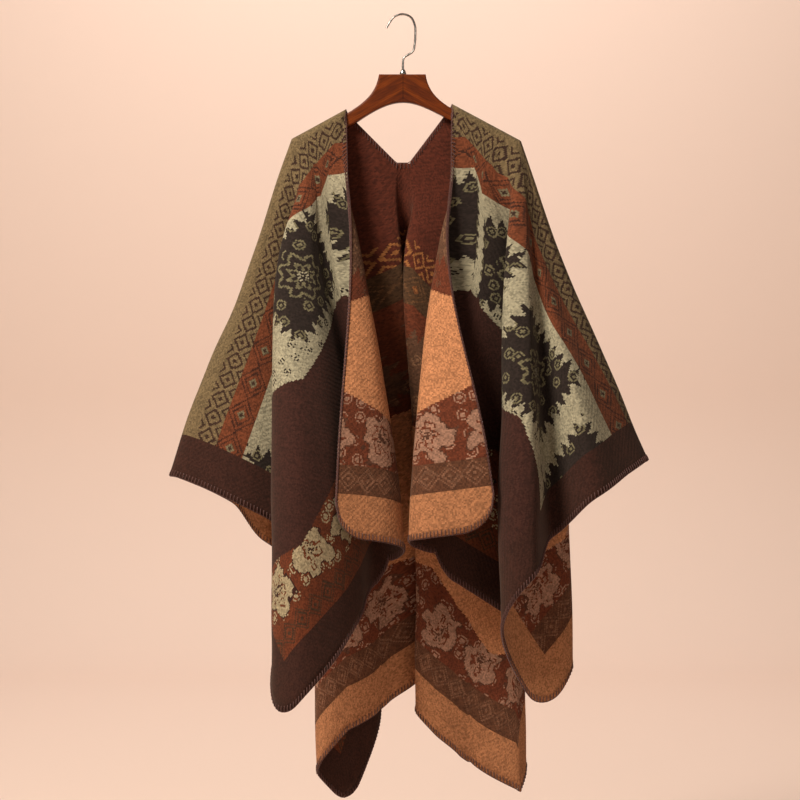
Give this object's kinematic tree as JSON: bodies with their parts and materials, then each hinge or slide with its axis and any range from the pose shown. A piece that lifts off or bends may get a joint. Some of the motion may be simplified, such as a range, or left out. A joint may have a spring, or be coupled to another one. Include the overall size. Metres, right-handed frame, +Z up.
{
  "type": "shawl cape on a clothes hanger",
  "caption": "Open-front blanket shawl cape with turned-out lapels and stitched edges, hung in deep folds from a flat wooden hanger with a wire hook.",
  "frame": {"origin": "inner top of the hook's bow, where a rail carries the hanger", "axes": "+Z up, +X to the viewer's right, +Y from the open front to the back; the viewer stands on the -Y side"},
  "size_m": [0.7217, 0.37, 1.1926],
  "materials": {
    "cloth": "brushed double-faced blanket weave",
    "wood": "dark red varnish",
    "steel": "polished wire"
  },
  "bodies": {
    "root": {"front_left": "cloth", "front_right": "cloth", "back": "cloth", "hanger_wood": "wood", "hanger_hook": "steel", "hook_ferrule": "steel"}
  },
  "joints": []
}
